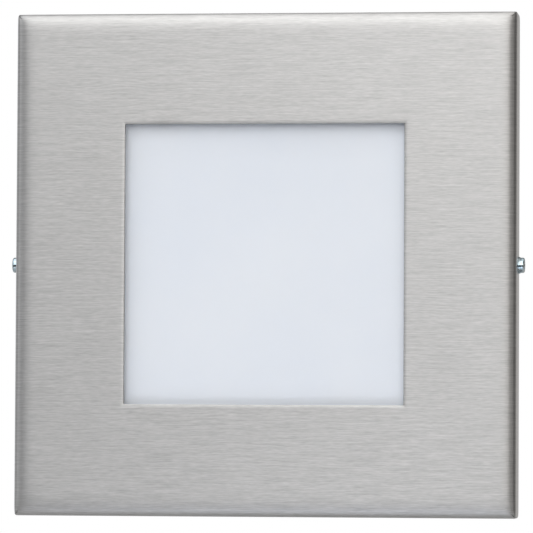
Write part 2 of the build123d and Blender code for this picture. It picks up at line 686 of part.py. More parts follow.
def make_led_wire(n):
    """A lead from the driver, round its end, through the bush and into the board's connector."""
    outer_x = max(bush_x, DRIVER_L / 2) + LED_WIRE_REACH - n * LED_LEAD_PITCH
    points = [
        (DRIVER_L / 2 - WIRE_SINK, driver_lead_y, led_port_z[n]),
        (outer_x, driver_lead_y, led_port_z[n]),
        (outer_x, driver_lead_y, led_wire_z[n]),
        (bush_x, driver_lead_y, led_wire_z[n]),
        (bush_x, led_wire_y, led_wire_z[n]),
        (connector_x + CONNECTOR_L / 2 - WIRE_SINK, led_wire_y, led_wire_z[n]),
    ]
    return wire(points, LED_WIRE_D, LED_WIRE_BEND)


right_screw = make_side_screw()
right_washer = make_spring_washer()
right_nut = make_weld_nut()
nodes = {
    "front_cover": make_front_cover(),
    "right_side_screw": right_screw,
    "left_side_screw": mirror(right_screw, about=Plane.YZ),
    "right_spring_washer": right_washer,
    "left_spring_washer": mirror(right_washer, about=Plane.YZ),
    "right_weld_nut": right_nut,
    "left_weld_nut": mirror(right_nut, about=Plane.YZ),
    "cover_frame": make_cover_frame(),
    "frame_screws": make_frame_screws(),
    "opal_diffuser": make_opal_diffuser(),
    "box_gasket": make_box_gasket(),
    "wall_seal": make_wall_seal(),
    "recess_box": make_recess_box(),
    "thread_inserts": make_thread_inserts(),
    "left_cable_grommet": make_cable_grommet(grommet_places[0]),
    "right_cable_grommet": make_cable_grommet(grommet_places[1]),
    "gear_tray": make_gear_tray(),
    "tray_screws": make_tray_screws(),
    "reflector": make_reflector(),
    "thermal_pad": make_thermal_pad(),
    "led_board": make_led_board(),
    "board_screws": make_board_screws(),
    "leds": make_leds(),
    "board_connector": make_board_connector(),
    "wire_bush": make_wire_bush(),
    "led_driver": make_led_driver(),
    "driver_screws": make_driver_screws(),
    "terminal_block": make_terminal_block(),
    "terminal_sleeves": make_terminal_sleeves(),
    "clamp_screws": make_clamp_screws(),
    "terminal_screw": make_terminal_screw(),
    "earth_stud": make_earth_stud(),
    "earth_nut": make_earth_nut(),
    "ring_terminal": make_ring_terminal(),
    "live_wire": make_mains_wire(0),
    "neutral_wire": make_mains_wire(1),
    "earth_wire": make_earth_wire(),
    "led_wire_positive": make_led_wire(0),
    "led_wire_negative": make_led_wire(1),
}

os.makedirs("parts", exist_ok=True)
for name, shape in nodes.items():
    export_step(shape, f"parts/{name}.step")
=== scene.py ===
import bpy
from math import cos, radians, sin
from mathutils import Matrix, Vector


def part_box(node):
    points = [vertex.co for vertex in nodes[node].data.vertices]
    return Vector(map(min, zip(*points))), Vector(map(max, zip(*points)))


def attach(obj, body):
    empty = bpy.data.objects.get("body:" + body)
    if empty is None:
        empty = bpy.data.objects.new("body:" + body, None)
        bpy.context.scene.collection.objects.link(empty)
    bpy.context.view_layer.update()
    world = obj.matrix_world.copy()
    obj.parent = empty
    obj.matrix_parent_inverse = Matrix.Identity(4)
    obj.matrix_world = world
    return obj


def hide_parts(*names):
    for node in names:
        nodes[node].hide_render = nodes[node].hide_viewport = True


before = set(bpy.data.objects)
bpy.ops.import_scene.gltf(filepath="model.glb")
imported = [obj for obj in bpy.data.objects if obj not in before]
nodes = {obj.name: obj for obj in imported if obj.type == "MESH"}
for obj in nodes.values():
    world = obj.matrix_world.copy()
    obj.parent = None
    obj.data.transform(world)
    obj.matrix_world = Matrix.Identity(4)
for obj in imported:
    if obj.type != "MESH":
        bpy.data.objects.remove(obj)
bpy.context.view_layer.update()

# Recess box: the black box that is set in the wall, with its wall flange, outer keys and cable entries.
# It is injection-moulded in one piece, and the mould leaves a fine even grain and faint flow marks.
MOULD_BLACK = (0.022, 0.022, 0.024, 1)
MOULD_WORN = (0.036, 0.036, 0.038, 1)
MOULD_ROUGHNESS = (0.46, 0.58)
FLOW_MARK_SHARE = 0.02


def feed(tree, socket, source):
    """Links a socket to another one, or sets its value."""
    if isinstance(source, bpy.types.NodeSocket):
        tree.links.new(source, socket)
    else:
        socket.default_value = source


def math(tree, operation, *sources):
    """One step of arithmetic on sockets and numbers."""
    step = tree.nodes.new("ShaderNodeMath")
    step.operation = operation
    for socket, source in zip(step.inputs, sources):
        feed(tree, socket, source)
    return step.outputs[0]


def vector_math(tree, operation, *sources):
    """One step of vector arithmetic."""
    step = tree.nodes.new("ShaderNodeVectorMath")
    step.operation = operation
    for socket, source in zip(step.inputs, sources):
        feed(tree, socket, source)
    return step.outputs["Vector"]


def stretched(tree, vector, scale):
    """Coordinates with a separate scale along each axis."""
    mapping = tree.nodes.new("ShaderNodeMapping")
    feed(tree, mapping.inputs["Vector"], vector)
    feed(tree, mapping.inputs["Scale"], scale)
    return mapping.outputs[0]


def noise(tree, vector, scale, detail):
    """Smooth noise from 0 to 1."""
    texture = tree.nodes.new("ShaderNodeTexNoise")
    feed(tree, texture.inputs["Vector"], vector)
    feed(tree, texture.inputs["Scale"], scale)
    feed(tree, texture.inputs["Detail"], detail)
    return texture.outputs["Fac"]


def spread(tree, value, low, high, out_low=0.0, out_high=1.0):
    """Spreads part of a value's range over another range, clamped."""
    step = tree.nodes.new("ShaderNodeMapRange")
    for socket, source in zip(step.inputs, (value, low, high, out_low, out_high)):
        feed(tree, socket, source)
    return step.outputs[0]


def blend(tree, factor, first, second):
    """A colour between two others."""
    step = tree.nodes.new("ShaderNodeMix")
    step.data_type = "RGBA"
    feed(tree, step.inputs["Factor"], factor)
    feed(tree, step.inputs[6], first)
    feed(tree, step.inputs[7], second)
    return step.outputs[2]


def new_group(name, inputs, outputs):
    """A shader node group. Inputs are pairs of a name and a first value, where None makes a vector."""
    tree = bpy.data.node_groups.new(name, "ShaderNodeTree")
    for label, value in inputs:
        kind = "NodeSocketVector" if value is None else "NodeSocketFloat"
        socket = tree.interface.new_socket(label, in_out="INPUT", socket_type=kind)
        if value is not None:
            socket.default_value = value
    for label in outputs:
        tree.interface.new_socket(label, in_out="OUTPUT", socket_type="NodeSocketFloat")
    return tree, tree.nodes.new("NodeGroupInput").outputs, tree.nodes.new("NodeGroupOutput").inputs


def placed(tree, group, **sources):
    """A copy of a group in a material: spaces in its socket names are written as underscores."""
    copy = tree.nodes.new("ShaderNodeGroup")
    copy.node_tree = group
    for label, source in sources.items():
        feed(tree, copy.inputs[label.replace("_", " ")], source)
    return copy.outputs


def new_finish(name, metallic, **values):
    """A material, its tree, its shader's inputs and the object's own coordinates."""
    material = bpy.data.materials.new(name)
    material.use_nodes = True
    tree = material.node_tree
    shader = tree.nodes["Principled BSDF"]
    shader.inputs["Metallic"].default_value = metallic
    for label, value in values.items():
        shader.inputs[label.replace("_", " ")].default_value = value
    return material, tree, shader.inputs, tree.nodes.new("ShaderNodeTexCoord").outputs["Object"]


def relief(tree, shader, height, depth):
    """Surface relief, with its depth in metres."""
    bump = tree.nodes.new("ShaderNodeBump")
    bump.inputs["Strength"].default_value = 1.0
    bump.inputs["Distance"].default_value = depth
    feed(tree, bump.inputs["Height"], height)
    feed(tree, shader["Normal"], bump.outputs[0])


def dress(material, *names):
    """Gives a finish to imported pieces."""
    for name in names:
        nodes[name].material_slots[0].material = material


mould_grain, grain_in, grain_out = new_group(
    "mould grain", [("Place", None), ("Fineness", 2500.0)], ["Height", "Patch"])
fine = noise(mould_grain, grain_in["Place"], grain_in["Fineness"], detail=2.0)
mark_scale = math(mould_grain, "MULTIPLY", grain_in["Fineness"], FLOW_MARK_SHARE)
coarse = noise(mould_grain, grain_in["Place"], mark_scale, detail=3.0)
feed(mould_grain, grain_out["Height"], fine)
feed(mould_grain, grain_out["Patch"], spread(mould_grain, coarse, 0.35, 0.65))

black_mould, tree, shader, place = new_finish("black_mould_grained", 0.0, IOR=1.5)
grain = placed(tree, mould_grain, Place=place, Fineness=1800.0)
feed(tree, shader["Base Color"], blend(tree, grain["Patch"], MOULD_BLACK, MOULD_WORN))
feed(tree, shader["Roughness"], spread(tree, grain["Patch"], 0.0, 1.0, *MOULD_ROUGHNESS))
relief(tree, shader, grain["Height"], depth=0.00006)
dress(black_mould, "recess_box")

# Wall seal: a ring of black closed-cell foam behind the flange, which takes up an uneven wall.
# It is die-cut from sheet, and its small cells show as dimples, with painted shade that darkens each
# dimple towards its bottom.
FOAM_SHADED_DIMPLE = (0.016, 0.016, 0.017, 1)
FOAM_DIMPLE_RIM = (0.034, 0.034, 0.034, 1)
CELLS_PER_METRE = 1600.0
black_foam, tree, shader, place = new_finish("black_foam_cells", 0.0, Roughness=0.92)
cells = tree.nodes.new("ShaderNodeTexVoronoi")
feed(tree, cells.inputs["Vector"], place)
feed(tree, cells.inputs["Scale"], CELLS_PER_METRE)
# Painted shade: each dimple is coloured darker towards its bottom and lighter at its rim.
feed(tree, shader["Base Color"], blend(tree, cells.outputs["Distance"], FOAM_SHADED_DIMPLE, FOAM_DIMPLE_RIM))
relief(tree, shader, cells.outputs["Distance"], depth=0.0002)
dress(black_foam, "wall_seal")

# Cable grommets and wire bush: soft black rubber, moulded, snapped into holes in the box and the tray.
# The surface is dull, with a fine bloom that greys it in patches.
RUBBER_BLACK = (0.017, 0.017, 0.017, 1)
RUBBER_BLOOM = (0.045, 0.045, 0.044, 1)
RUBBER_ROUGHNESS = (0.66, 0.82)
black_rubber, tree, shader, place = new_finish("black_rubber_bloom", 0.0)
grain = placed(tree, mould_grain, Place=place, Fineness=4000.0)
feed(tree, shader["Base Color"], blend(tree, grain["Patch"], RUBBER_BLACK, RUBBER_BLOOM))
feed(tree, shader["Roughness"], spread(tree, grain["Height"], 0.3, 0.7, *RUBBER_ROUGHNESS))
relief(tree, shader, grain["Height"], depth=0.00003)
dress(black_rubber, "left_cable_grommet", "right_cable_grommet", "wire_bush")

# Thread inserts and terminal sleeves: turned brass, pressed into the box's bosses and the terminals.
# The turning leaves fine rings, and the brass is a little tarnished.
BRASS = (0.66, 0.47, 0.17, 1)
BRASS_DULL = (0.45, 0.32, 0.13, 1)
BRASS_ROUGHNESS = (0.24, 0.42)
RING_SCALE = (300.0, 5000.0, 300.0)
brass, tree, shader, place = new_finish("brass_turned", 1.0)
rings = noise(tree, stretched(tree, place, RING_SCALE), scale=1.0, detail=2.0)
tarnish = noise(tree, place, scale=300.0, detail=3.0)
feed(tree, shader["Base Color"], blend(tree, spread(tree, tarnish, 0.4, 0.65), BRASS, BRASS_DULL))
feed(tree, shader["Roughness"], spread(tree, rings, 0.3, 0.7, *BRASS_ROUGHNESS))
relief(tree, shader, rings, depth=0.00002)
dress(brass, "thread_inserts", "terminal_sleeves")

# Gear tray, clamp frame and weld nuts: galvanised steel sheet, punched and folded, with nuts welded on.
# The zinc freezes in flat crystals that differ in brightness, with a faint milky bloom between them.
ZINC_PALE = (0.62, 0.635, 0.65, 1)
ZINC_DARK = (0.43, 0.445, 0.46, 1)
ZINC_ROUGHNESS = (0.32, 0.5)
CRYSTALS_PER_METRE = 160.0
CRYSTAL_SHARE = 0.7
BLOOM_SHARE = 0.3
galvanised, tree, shader, place = new_finish("galvanised_spangle", 1.0)
crystals = tree.nodes.new("ShaderNodeTexVoronoi")
feed(tree, crystals.inputs["Vector"], place)
feed(tree, crystals.inputs["Scale"], CRYSTALS_PER_METRE)
tone = tree.nodes.new("ShaderNodeSeparateColor")
feed(tree, tone.inputs[0], crystals.outputs["Color"])
bloom = noise(tree, place, scale=45.0, detail=4.0)
crystal_shade = math(tree, "MULTIPLY", tone.outputs[0], CRYSTAL_SHARE)
shade = math(tree, "ADD", crystal_shade, math(tree, "MULTIPLY", bloom, BLOOM_SHARE))
feed(tree, shader["Base Color"], blend(tree, shade, ZINC_DARK, ZINC_PALE))
feed(tree, shader["Roughness"], spread(tree, tone.outputs[1], 0.0, 1.0, *ZINC_ROUGHNESS))
relief(tree, shader, crystals.outputs["Distance"], depth=0.00002)
dress(galvanised, "gear_tray", "cover_frame", "left_weld_nut", "right_weld_nut")

# Screws, washers, earth stud and nut: steel, bright zinc-plated with a blue passivation of uneven hue.
# Heads are cold-formed, so the plate is smooth with fine scuffs.
PLATE_BLUE = (0.42, 0.53, 0.59, 1)
PLATE_STRAW = (0.52, 0.57, 0.58, 1)
PLATE_ROUGHNESS = (0.09, 0.2)
SCUFF_SCALE = (900.0, 4200.0, 1500.0)
zinc_plate, tree, shader, place = new_finish("zinc_plate_blue", 1.0)
hue = noise(tree, place, scale=420.0, detail=3.0)
scuffs = noise(tree, stretched(tree, place, SCUFF_SCALE), scale=1.0, detail=3.0)
feed(tree, shader["Base Color"], blend(tree, spread(tree, hue, 0.42, 0.62), PLATE_BLUE, PLATE_STRAW))
feed(tree, shader["Roughness"], spread(tree, scuffs, 0.35, 0.7, *PLATE_ROUGHNESS))
relief(tree, shader, scuffs, depth=0.00001)
dress(zinc_plate, "left_side_screw", "right_side_screw", "left_spring_washer", "right_spring_washer",
      "frame_screws", "tray_screws", "board_screws", "driver_screws", "clamp_screws", "terminal_screw",
      "earth_stud", "earth_nut")

# LED driver, terminal block and board connector: white mouldings, screwed or soldered in place.
# They have a fine matt grain, and yellow a little where the melt flowed.
MOULD_WHITE = (0.80, 0.80, 0.775, 1)
MOULD_CREAM = (0.74, 0.73, 0.69, 1)
WHITE_ROUGHNESS = (0.34, 0.5)
white_mould, tree, shader, place = new_finish("white_mould_grained", 0.0, IOR=1.5)
grain = placed(tree, mould_grain, Place=place, Fineness=2600.0)
feed(tree, shader["Base Color"], blend(tree, grain["Patch"], MOULD_WHITE, MOULD_CREAM))
feed(tree, shader["Roughness"], spread(tree, grain["Height"], 0.3, 0.7, *WHITE_ROUGHNESS))
relief(tree, shader, grain["Height"], depth=0.00003)
dress(white_mould, "led_driver", "terminal_block", "board_connector")

# Ring terminal: copper strip, stamped, rolled and tin-plated, crimped on the earth wire.
# Tin is soft and grey-white, with dull rub marks.
TIN = (0.66, 0.655, 0.64, 1)
TIN_RUBBED = (0.52, 0.515, 0.50, 1)
TIN_ROUGHNESS = (0.26, 0.44)
RUB_SCALE = (400.0, 1600.0, 2600.0)
tin_plate, tree, shader, place = new_finish("tin_plate_rubbed", 1.0)
rubs = noise(tree, stretched(tree, place, RUB_SCALE), scale=1.0, detail=3.0)
feed(tree, shader["Base Color"], blend(tree, spread(tree, rubs, 0.4, 0.7), TIN, TIN_RUBBED))
feed(tree, shader["Roughness"], spread(tree, rubs, 0.3, 0.7, *TIN_ROUGHNESS))
relief(tree, shader, rubs, depth=0.00001)
dress(tin_plate, "ring_terminal")

# Wires: copper strands in extruded plastic, coloured to mark live, neutral, earth and the LED leads.
# Extrusion leaves a soft gloss with a faint grain, and the earth wire is green with two yellow stripes.
INSULATION = {
    "live_wire": (0.20, 0.085, 0.035, 1),
    "neutral_wire": (0.045, 0.13, 0.44, 1),
    "earth_wire": (0.07, 0.30, 0.06, 1),
    "led_wire_positive": (0.50, 0.025, 0.02, 1),
    "led_wire_negative": (0.018, 0.018, 0.02, 1),
}
STRIPE_YELLOW = (0.75, 0.60, 0.04, 1)
WIRE_ROUGHNESS = (0.3, 0.44)
PATCH_SHADE = 0.8
STRIPE_EDGE = (0.9, 1.0)
for wire, colour in INSULATION.items():
    insulation, tree, shader, place = new_finish(f"{wire}_insulation", 0.0, IOR=1.5)
    grain = placed(tree, mould_grain, Place=place, Fineness=3000.0)
    darker = tuple(PATCH_SHADE * part for part in colour[:3]) + (1,)
    skin = blend(tree, grain["Patch"], colour, darker)
    if wire == "earth_wire":
        axes = tree.nodes.new("ShaderNodeSeparateXYZ")
        feed(tree, axes.inputs[0], tree.nodes.new("ShaderNodeNewGeometry").outputs["Normal"])
        facing = math(tree, "ABSOLUTE", math(tree, "ADD", axes.outputs["Y"], axes.outputs["Z"]))
        skin = blend(tree, spread(tree, facing, *STRIPE_EDGE), skin, STRIPE_YELLOW)
    feed(tree, shader["Base Color"], skin)
    feed(tree, shader["Roughness"], spread(tree, grain["Height"], 0.3, 0.7, *WIRE_ROUGHNESS))
    relief(tree, shader, grain["Height"], depth=0.00002)
    dress(insulation, wire)

# LED board: an aluminium board under white solder mask, screwed to the tray over a grey thermal pad.
# Copper tracks lie under the mask in rows and raise it a little.
MASK_WHITE = (0.82, 0.83, 0.815, 1)
MASK_TRACK = (0.70, 0.72, 0.69, 1)
TRACK_PITCH = 0.019
TRACK_EDGE = (0.34, 0.37)
board_white, tree, shader, place = new_finish("board_solder_mask", 0.0, Roughness=0.42, IOR=1.5)
axes = tree.nodes.new("ShaderNodeSeparateXYZ")
feed(tree, axes.inputs[0], place)
from_row = math(tree, "ADD", axes.outputs["Z"], TRACK_PITCH / 2)
row = math(tree, "FRACT", math(tree, "DIVIDE", from_row, TRACK_PITCH))
track = spread(tree, math(tree, "ABSOLUTE", math(tree, "SUBTRACT", row, 0.5)), *TRACK_EDGE)
feed(tree, shader["Base Color"], blend(tree, track, MASK_TRACK, MASK_WHITE))
relief(tree, shader, track, depth=0.00003)
dress(board_white, "led_board")

# LEDs: small packages covered with yellow phosphor in clear resin, soldered in a square array.
# The phosphor settles unevenly in the resin.
PHOSPHOR = (0.80, 0.62, 0.12, 1)
PHOSPHOR_PALE = (0.86, 0.76, 0.36, 1)
led_resin, tree, shader, place = new_finish("led_phosphor", 0.0, Roughness=0.18, IOR=1.52)
speckle = noise(tree, place, scale=900.0, detail=2.0)
feed(tree, shader["Base Color"], blend(tree, speckle, PHOSPHOR, PHOSPHOR_PALE))
relief(tree, shader, noise(tree, place, scale=1500.0, detail=1.0), depth=0.00002)
dress(led_resin, "leds")

# Reflector: thin aluminium sheet, pressed to a sloping pan and powder-coated white.
# The powder melts to a faint orange peel.
POWDER_WHITE = (0.83, 0.83, 0.82, 1)
POWDER_SHADE = (0.78, 0.78, 0.765, 1)
white_paint, tree, shader, place = new_finish("white_powder_coat", 0.0, Roughness=0.4, IOR=1.5)
peel = noise(tree, place, scale=900.0, detail=2.0)
feed(tree, shader["Base Color"], blend(tree, peel, POWDER_WHITE, POWDER_SHADE))
relief(tree, shader, peel, depth=0.00004)
dress(white_paint, "reflector")

# Box gasket and thermal pad: grey silicone, die-cut from sheet, clamped between their neighbours.
# It is matt and a little dusty, because silicone holds lint.
SILICONE = (0.20, 0.205, 0.21, 1)
SILICONE_DUST = (0.30, 0.30, 0.295, 1)
SILICONE_ROUGHNESS = (0.5, 0.66)
grey_silicone, tree, shader, place = new_finish("grey_silicone_dusty", 0.0)
grain = placed(tree, mould_grain, Place=place, Fineness=3200.0)
feed(tree, shader["Base Color"], blend(tree, grain["Patch"], SILICONE, SILICONE_DUST))
feed(tree, shader["Roughness"], spread(tree, grain["Height"], 0.3, 0.7, *SILICONE_ROUGHNESS))
relief(tree, shader, grain["Height"], depth=0.00002)
dress(grey_silicone, "box_gasket", "thermal_pad")

# Opal diffuser: a shallow bowl of opal plastic, moulded, which shows in the cover's window.
# Light spreads a little inside the milky plastic, and its satin face has a barely seen ripple.
OPAL = (0.820, 0.859, 0.926, 1)
OPAL_PALE = (0.846, 0.879, 0.936, 1)
OPAL_ROUGHNESS = (0.4, 0.46)
LIGHT_SPREAD = 0.0015
opal, tree, shader, place = new_finish("opal_satin", 0.0, IOR=1.49, Subsurface_Weight=0.3)
shader["Subsurface Radius"].default_value = (1.0, 1.0, 1.0)
shader["Subsurface Scale"].default_value = LIGHT_SPREAD
grain = placed(tree, mould_grain, Place=place, Fineness=900.0)
feed(tree, shader["Base Color"], blend(tree, grain["Patch"], OPAL, OPAL_PALE))
feed(tree, shader["Roughness"], spread(tree, grain["Patch"], 0.0, 1.0, *OPAL_ROUGHNESS))
relief(tree, shader, grain["Height"], depth=0.00001)
dress(opal, "opal_diffuser")

# Front cover: stainless sheet, brushed along its width, with a window cut out and four sides folded back.
# The sheet curves well before each fold, the corners draw round, and their mitres stay open as slits.
# A notch in each side lets the cover slip over the shank of a side screw.
FOLD_LEAD = 0.010
FLAT_START = 0.030
FOLD_DEPTH = 0.0065
COVER_SHEET = 0.0015
CORNER_CREASE = 0.32
CORNER_DROOP = 0.002
CORNER_TAPER = 0.008
NEAR = 0.001
cover_low, cover_high = (Vector(corner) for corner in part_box("front_cover"))


def new_block(name, low, high):
    """A block between two corners, as the start of a piece or a cutter."""
    bpy.ops.object.select_all(action="DESELECT")
    bpy.ops.mesh.primitive_cube_add(size=1.0, location=(low + high) / 2, scale=high - low)
    block = bpy.context.object
    block.name = name
    bpy.ops.object.transform_apply(location=True, rotation=True, scale=True)
    return block


def pick_faces(piece, test):
    """Selects, in edit mode, the faces that pass a test."""
    bpy.ops.object.mode_set(mode="EDIT")
    bpy.ops.mesh.select_mode(type="FACE")
    bpy.ops.mesh.select_all(action="DESELECT")
    bpy.ops.object.mode_set(mode="OBJECT")
    for face in piece.data.polygons:
        face.select = test(face)
    bpy.ops.object.mode_set(mode="EDIT")


def pick_edges(piece, test):
    """Selects, in edit mode, the edges whose two ends pass a test."""
    bpy.ops.object.mode_set(mode="EDIT")
    bpy.ops.mesh.select_mode(type="EDGE")
    bpy.ops.mesh.select_all(action="DESELECT")
    bpy.ops.object.mode_set(mode="OBJECT")
    points = piece.data.vertices
    for edge in piece.data.edges:
        edge.select = test(*(points[end].co for end in edge.vertices))
    bpy.ops.object.mode_set(mode="EDIT")


def pick_points(piece, test):
    """Selects, in edit mode, the points that pass a test."""
    bpy.ops.object.mode_set(mode="EDIT")
    bpy.ops.mesh.select_mode(type="VERT")
    bpy.ops.mesh.select_all(action="DESELECT")
    bpy.ops.object.mode_set(mode="OBJECT")
    for point in piece.data.vertices:
        point.select = test(point.co)
    bpy.ops.object.mode_set(mode="EDIT")


def applied(piece, kind, **values):
    """Adds a modifier to a piece and applies it."""
    bpy.ops.object.mode_set(mode="OBJECT")
    bpy.ops.object.select_all(action="DESELECT")
    bpy.context.view_layer.objects.active = piece
    modifier = piece.modifiers.new(kind.lower(), kind)
    for label, value in values.items():
        setattr(modifier, label, value)
    bpy.ops.object.modifier_apply(modifier=modifier.name)


def cut_out(piece, cutter):
    """Takes a cutter's shape out of a piece, and deletes the cutter."""
    applied(piece, "BOOLEAN", object=cutter, operation="DIFFERENCE", solver="EXACT")
    bpy.data.objects.remove(cutter)


cover = new_block("brushed_cover", cover_low, cover_high)
pick_faces(cover, lambda face: face.normal.y > 0.9)
bpy.ops.mesh.delete(type="FACE")
half = cover_high.x
for place_on_face in (half - FOLD_LEAD, half - FLAT_START):
    for sign in (-1, 1):
        for across in (Vector((1, 0, 0)), Vector((0, 0, 1))):
            bpy.ops.mesh.select_all(action="SELECT")
            bpy.ops.mesh.bisect(plane_co=sign * place_on_face * across, plane_no=across)
bpy.ops.mesh.select_all(action="SELECT")
bpy.ops.mesh.bisect(plane_co=(0, cover_low.y + FOLD_DEPTH, 0), plane_no=(0, 1, 0))


def at_corner(point):
    """Tells whether a point of the cover is on one of its four corners."""
    return abs(point.x) + abs(point.z) > 2 * half - NEAR


pick_edges(cover, lambda first, last: at_corner(first) and abs(first.y - last.y) > NEAR)
bpy.ops.transform.edge_crease(value=CORNER_CREASE)
pick_points(cover, lambda point: at_corner(point) and point.y < cover_low.y + NEAR)
bpy.ops.transform.translate(value=(0, CORNER_DROOP, 0))
beside_fold = half - FOLD_LEAD
pick_points(cover, lambda point: abs(abs(point.x) - beside_fold) < NEAR and abs(point.z) > half - NEAR)
bpy.ops.transform.resize(value=(1 + CORNER_TAPER / beside_fold, 1, 1), center_override=(0, 0, 0))
applied(cover, "SUBSURF", levels=4, render_levels=4)

SLIT_HALF = 0.00012
SLIT_START = 0.0035
diagonals = (Vector((1, 0, 1)).normalized(), Vector((1, 0, -1)).normalized())
corner = half * 2 ** 0.5
for along_slit, across_slit in (diagonals, diagonals[::-1]):
    cuts = [(across_slit, SLIT_HALF), (along_slit, corner - SLIT_START)]
    for direction, distance in cuts + [(-direction, distance) for direction, distance in cuts]:
        pick_faces(cover, lambda face: abs(face.center.dot(along_slit)) > corner - 3 * SLIT_START)
        bpy.ops.mesh.bisect(plane_co=distance * direction, plane_no=direction)
    pick_faces(cover, lambda face: abs(face.center.dot(across_slit)) < SLIT_HALF
               and abs(face.center.dot(along_slit)) > corner - SLIT_START)
    bpy.ops.mesh.delete(type="FACE")
applied(cover, "SOLIDIFY", thickness=COVER_SHEET, offset=-1.0, use_even_offset=True)

WINDOW_HALF = 0.064
WINDOW_CORNER = 0.0006
WINDOW_EDGE = 0.0003
CUT_PAST = 0.01
CLOSE = 0.0001
window = new_block("window_cutter", Vector((-WINDOW_HALF, cover_low.y - CUT_PAST, -WINDOW_HALF)),
                   Vector((WINDOW_HALF, cover_low.y + CUT_PAST, WINDOW_HALF)))
pick_edges(window, lambda first, last: abs(first.y - last.y) > NEAR)
bpy.ops.mesh.bevel(offset=WINDOW_CORNER, segments=6, affect="EDGES")
cut_out(cover, window)


def on_window_edge(point):
    """Tells whether a point of the cover is on the front edge of the window."""
    return max(abs(point.x), abs(point.z)) < WINDOW_HALF + CLOSE and point.y < cover_low.y + CLOSE


pick_edges(cover, lambda first, last: on_window_edge(first) and on_window_edge(last))
bpy.ops.mesh.bevel(offset=WINDOW_EDGE, segments=3, affect="EDGES")
bpy.ops.object.mode_set(mode="OBJECT")

NOTCH_HALF = 0.0022
NOTCH_REACH = 0.2
SCREW_HEAD_HALF = 0.0035
NOTCH_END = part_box("right_side_screw")[0][1] + SCREW_HEAD_HALF - NOTCH_HALF
notch = new_block("notch_cutter", Vector((-NOTCH_REACH, NOTCH_END, -NOTCH_HALF)),
                  Vector((NOTCH_REACH, CUT_PAST, NOTCH_HALF)))
pick_edges(notch, lambda first, last: max(first.y, last.y) < NOTCH_END + CLOSE
           and abs(first.x - last.x) > NOTCH_REACH)
bpy.ops.mesh.bevel(offset=NOTCH_HALF, segments=10, affect="EDGES")
cut_out(cover, notch)

bpy.ops.object.select_all(action="DESELECT")
cover.select_set(True)
bpy.context.view_layer.objects.active = cover
bpy.ops.object.shade_smooth_by_angle(angle=radians(35))

STEEL_PALE = (0.540, 0.533, 0.522, 1)
STEEL_DARK = (0.376, 0.371, 0.364, 1)
STEEL_ROUGHNESS = (0.34, 0.4)
SCRATCH_SCALE = (55.0, 55.0, 1700.0)
HAIR_SCALE = (240.0, 240.0, 2600.0)
SWAY_SCALE = (40.0, 40.0, 90.0)
SWAY = 0.002
NUDGE_ALONG_WIDTH = (0.05, 0.0, 0.0)
brushed_stainless, tree, shader, place = new_finish("brushed_stainless_grain", 1.0, Anisotropic=0.75)
# The lines run level round the cover, and along its width on the top and bottom sides.
normal = tree.nodes.new("ShaderNodeNewGeometry").outputs["Normal"]
along = vector_math(tree, "CROSS_PRODUCT", (0.0, 0.0, 1.0), normal)
along = vector_math(tree, "NORMALIZE", vector_math(tree, "ADD", along, NUDGE_ALONG_WIDTH))
feed(tree, shader["Tangent"], vector_math(tree, "CROSS_PRODUCT", normal, along))
axes = tree.nodes.new("ShaderNodeSeparateXYZ")
feed(tree, axes.inputs[0], place)
from_middle = math(tree, "ABSOLUTE", axes.outputs["Z"])
on_fold = math(tree, "GREATER_THAN", from_middle, math(tree, "ABSOLUTE", axes.outputs["X"]))
behind_face = math(tree, "SUBTRACT", axes.outputs["Y"], cover_low.y)
across = math(tree, "ADD", from_middle, math(tree, "MULTIPLY", on_fold, behind_face))
sway = noise(tree, stretched(tree, place, SWAY_SCALE), scale=1.0, detail=1.0)
unrolled = tree.nodes.new("ShaderNodeCombineXYZ")
side = math(tree, "SIGN", axes.outputs["Z"])
feed(tree, unrolled.inputs["X"], math(tree, "ADD", axes.outputs["X"], side))
feed(tree, unrolled.inputs["Y"], axes.outputs["Y"])
feed(tree, unrolled.inputs["Z"], math(tree, "MULTIPLY_ADD", sway, SWAY, across))
scratches = noise(tree, stretched(tree, unrolled.outputs[0], SCRATCH_SCALE), scale=1.0, detail=2.0)
hairs = noise(tree, stretched(tree, unrolled.outputs[0], HAIR_SCALE), scale=1.0, detail=2.0)
streak = math(tree, "ADD", math(tree, "MULTIPLY", scratches, 0.5), math(tree, "MULTIPLY", hairs, 0.5))
feed(tree, shader["Base Color"], blend(tree, spread(tree, streak, 0.32, 0.68), STEEL_DARK, STEEL_PALE))
feed(tree, shader["Roughness"], spread(tree, streak, 0.3, 0.7, *STEEL_ROUGHNESS))
cover.data.materials.append(brushed_stainless)
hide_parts("front_cover")
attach(cover, "cover")

# Studio: the light hangs over pale paper, in a room with white paper behind and a darker right side.
# A soft lamp hangs high in front, a weak one near the camera, and a third lights the paper in front.
# The camera looks up a little from the right, as in the photograph.
FLOOR_Z = -0.42
FLOOR_SIDE = 2.0
PAPER = (0.62, 0.62, 0.62, 1)
PAPER_FIBRE = (0.58, 0.58, 0.58, 1)
SHADED_SPAN = (0.35, 0.95)
WHITE_SHARE = 0.7
bpy.ops.object.select_all(action="DESELECT")
bpy.ops.mesh.primitive_plane_add(size=FLOOR_SIDE, location=(0, 0, FLOOR_Z))
floor = bpy.context.object
floor.name = "floor"
bpy.ops.object.transform_apply(location=True, rotation=False, scale=False)
paper, tree, shader, place = new_finish("white_paper", 0.0, Roughness=0.9)
fibre = noise(tree, place, scale=60.0, detail=3.0)
fibre_share = spread(tree, fibre, 0.3, 0.7, 0.0, 0.1)
feed(tree, shader["Base Color"], blend(tree, fibre_share, PAPER, PAPER_FIBRE))
